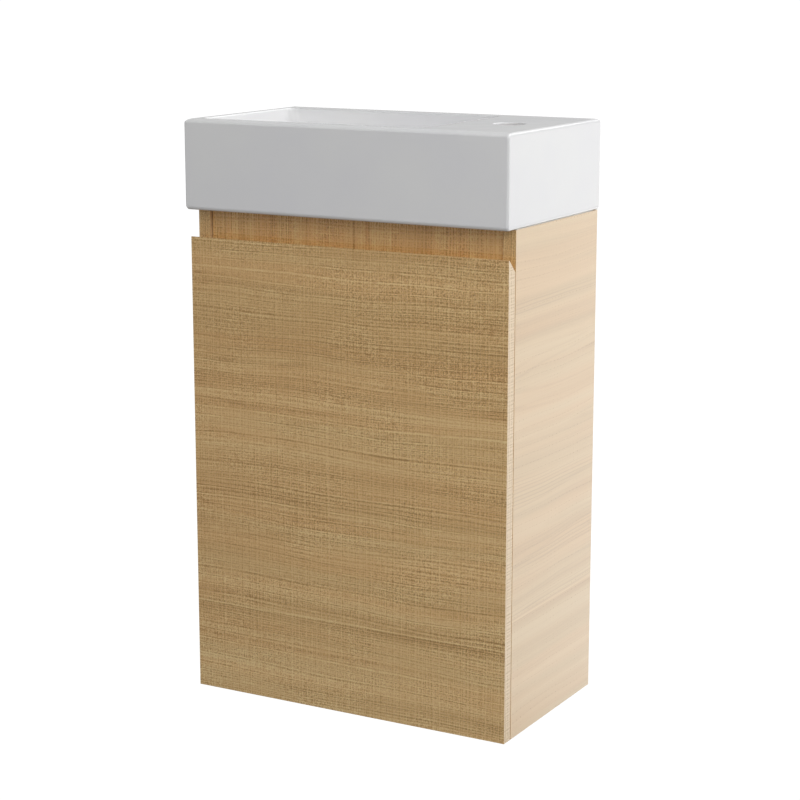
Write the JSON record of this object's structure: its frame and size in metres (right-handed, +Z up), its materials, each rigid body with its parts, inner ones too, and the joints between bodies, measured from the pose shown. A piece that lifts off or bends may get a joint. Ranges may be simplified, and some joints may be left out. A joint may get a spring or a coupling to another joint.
{
  "type": "vanity unit",
  "caption": "Wall-hung cloakroom vanity unit: slab basin with offset bowl and tap deck on an oak-look cabinet with a hinged door and bevelled finger pull.",
  "frame": {"origin": "on the wall, midway between the screw holes of the two wall plates", "axes": "X to the right along the wall as seen from the front, Y back into the wall, Z up"},
  "size_m": [0.4, 0.228, 0.657],
  "materials": {
    "glazed_basin": "white gloss glaze over fired clay",
    "sealant": "white sanitary silicone, satin",
    "side_laminate": "oak-look textured laminate on chipboard",
    "base_panel": "oak-look textured laminate on chipboard",
    "fascia_rail": "oak-look textured laminate, grain upright",
    "rail_laminate": "oak-look textured laminate on chipboard",
    "shelf": "oak-look textured laminate on chipboard",
    "door_panel": "oak-look textured laminate, grain across, with edge bands",
    "beech": "turned beech",
    "fitting_steel": "zinc-plated steel",
    "cam_zinc": "die-cast zinc, dull",
    "cap_plastic": "oak-coloured cover cap",
    "clear_rubber": "clear soft bumper",
    "hinge_nickel": "nickel-plated pressed steel",
    "screw_steel": "zinc-plated screw",
    "pin_steel": "plain steel pin",
    "hanger_plastic": "pale grey moulded plastic",
    "zinc_plate": "zinc-plated steel strip"
  },
  "bodies": {
    "cabinet": {"basin": "glazed_basin", "sealant_bead": "sealant", "side_panel_left": "side_laminate", "side_panel_right": "side_laminate", "base_panel": "base_panel", "fascia_rail": "fascia_rail", "hanging_rail": "rail_laminate", "lower_back_rail": "rail_laminate", "shelf": "shelf", "shelf_supports": "fitting_steel", "wood_dowels": "beech", "cam_bolts": "fitting_steel", "cam_locks": "cam_zinc", "cam_caps": "cap_plastic", "hinge_arm_upper": "hinge_nickel", "hinge_arm_lower": "hinge_nickel", "arm_pins_upper": "pin_steel", "arm_pins_lower": "pin_steel", "hinge_plate_upper": "hinge_nickel", "hinge_plate_lower": "hinge_nickel", "plate_screws": "screw_steel", "arm_screws": "screw_steel", "hanger_housing_left": "hanger_plastic", "hanger_housing_right": "hanger_plastic", "hanger_hook_left": "zinc_plate", "hanger_hook_right": "zinc_plate", "hanger_adjusters": "screw_steel", "hanger_screws": "screw_steel", "wall_plate_left": "zinc_plate", "wall_plate_right": "zinc_plate"},
    "door": {"door_panel": "door_panel", "door_bumpers": "clear_rubber", "hinge_cup_upper": "hinge_nickel", "hinge_cup_lower": "hinge_nickel", "cup_screws": "screw_steel", "cup_pins_upper": "pin_steel", "cup_pins_lower": "pin_steel"},
    "long_links": {"long_link_upper": "hinge_nickel", "long_link_lower": "hinge_nickel"},
    "short_links": {"short_link_upper": "hinge_nickel", "short_link_lower": "hinge_nickel", "guide_pins": "pin_steel"}
  },
  "joints": [
    {"name": "door_swing", "type": "hinge", "parent": "long_links", "child": "door", "pos_m": [-0.1883, -0.2082, -0.248], "axis": [0, 0, -1], "range_deg": [0, 120]},
    {"name": "long_link_swing", "type": "hinge", "parent": "cabinet", "child": "long_links", "pos_m": [-0.162, -0.1885, -0.248], "axis": [0, 0, -1], "range_deg": [-27.7, 0]},
    {"name": "short_link_swing", "type": "hinge", "parent": "cabinet", "child": "short_links", "pos_m": [-0.17, -0.2117, -0.248], "axis": [0, 0, -1], "range_deg": [-43, 0]}
  ],
  "couplings": [
    {"joint": "long_link_swing", "follows": "door_swing", "ratio": -0.23077},
    {"joint": "short_link_swing", "follows": "door_swing", "ratio": -0.35769}
  ]
}
